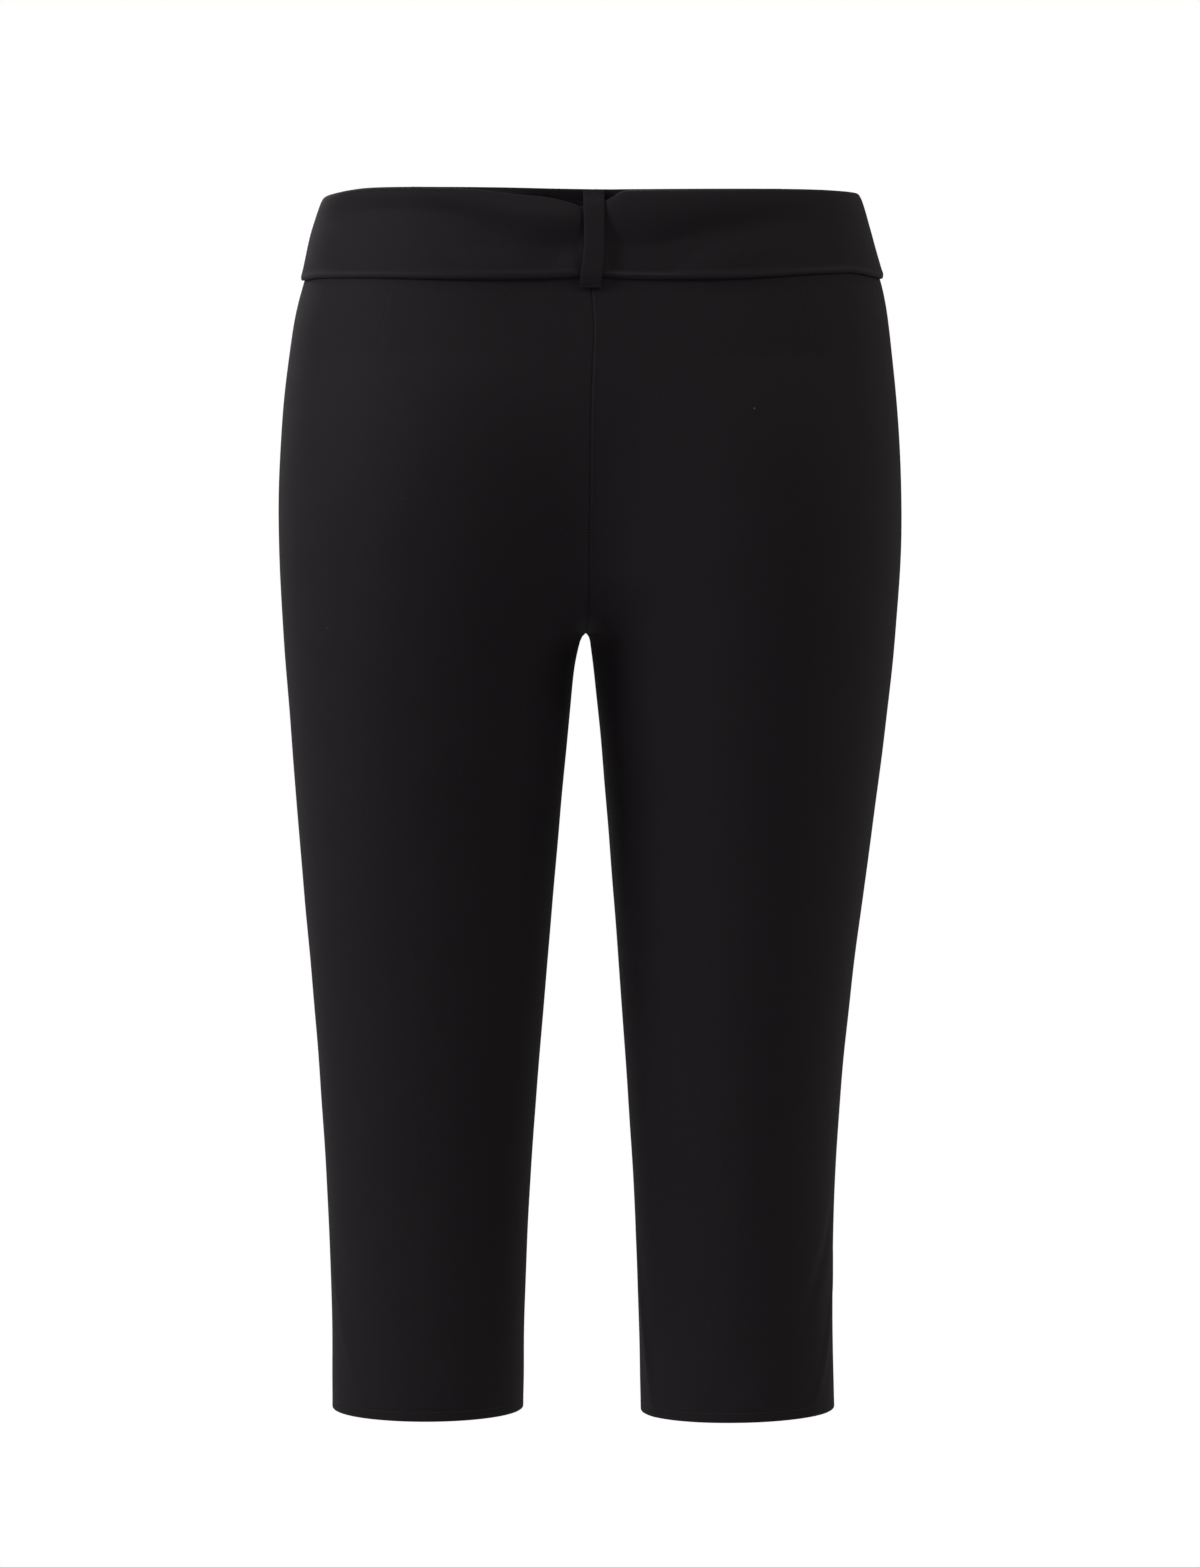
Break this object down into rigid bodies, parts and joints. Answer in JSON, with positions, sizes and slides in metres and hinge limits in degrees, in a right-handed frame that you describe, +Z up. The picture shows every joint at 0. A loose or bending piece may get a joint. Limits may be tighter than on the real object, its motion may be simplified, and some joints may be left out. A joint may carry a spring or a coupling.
{
  "type": "capri pants with a waist sash",
  "caption": "Close below-knee stretch pants standing open as worn, with darts at the back and a wide soft sash held by a belt loop.",
  "frame": {"origin": "middle of the waist opening, level with the top edge at the centre back", "axes": "+Z up from the hems to the waist, +X to the wearer's left, +Y to the wearer's back"},
  "size_m": [0.3844, 0.2548, 0.7574],
  "materials": {
    "knit": "black double knit with a soft sheen",
    "sash_knit": "black double knit, folded double"
  },
  "bodies": {
    "root": {"back_left": "knit", "back_right": "knit", "front_left": "knit", "front_right": "knit", "sash": "sash_knit", "belt_loop": "sash_knit"}
  },
  "joints": []
}
